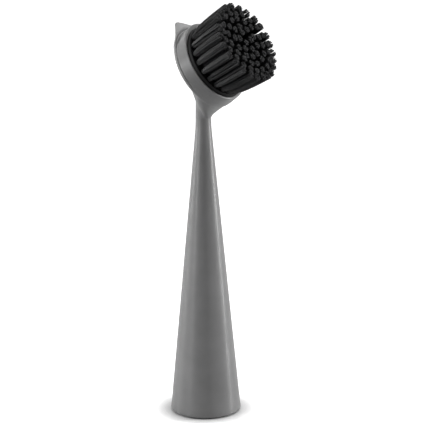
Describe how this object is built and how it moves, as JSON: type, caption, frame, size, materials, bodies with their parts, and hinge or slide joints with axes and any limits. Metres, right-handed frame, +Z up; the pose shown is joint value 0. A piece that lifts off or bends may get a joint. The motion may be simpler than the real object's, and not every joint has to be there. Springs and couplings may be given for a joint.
{
  "type": "dish brush",
  "caption": "Dish brush that stands upright on a cone-shaped handle, with a round tilted bristle head that pulls out and a scraper corner at its top.",
  "frame": {"origin": "centre of the foot pad's underside, on the surface that the brush stands on", "axes": "+Z up along the handle's axis, +X the way the head leans and the bristles look, +Y to the head's side, so that the brush is symmetric about the XZ plane"},
  "size_m": [0.0752, 0.0582, 0.2935],
  "materials": {
    "satin_grey_plastic": "fine satin moulded grain, faint mould flow lines",
    "base_grey_plastic": "matt moulded, slightly rougher than the handle",
    "ballast_steel": "plain turned slug",
    "foot_rubber": "matt, soft",
    "black_plastic": "satin moulded",
    "grey_nylon": "dark filaments with a soft sheen along them and lighter cut tips"
  },
  "bodies": {
    "handle_body": {"handle": "satin_grey_plastic", "base_cap": "base_grey_plastic", "ballast_disc": "ballast_steel", "foot_pad": "foot_rubber"},
    "brush_head": {"brush_disc": "black_plastic", "tufts_outer": "grey_nylon", "tufts_second": "grey_nylon", "tufts_third": "grey_nylon", "tufts_fourth": "grey_nylon", "tufts_centre": "grey_nylon"}
  },
  "joints": [
    {"name": "head_pull", "type": "slide", "parent": "handle_body", "child": "brush_head", "axis": [0.8192, 0, 0.5736], "range_m": [0, 0.014]}
  ]
}
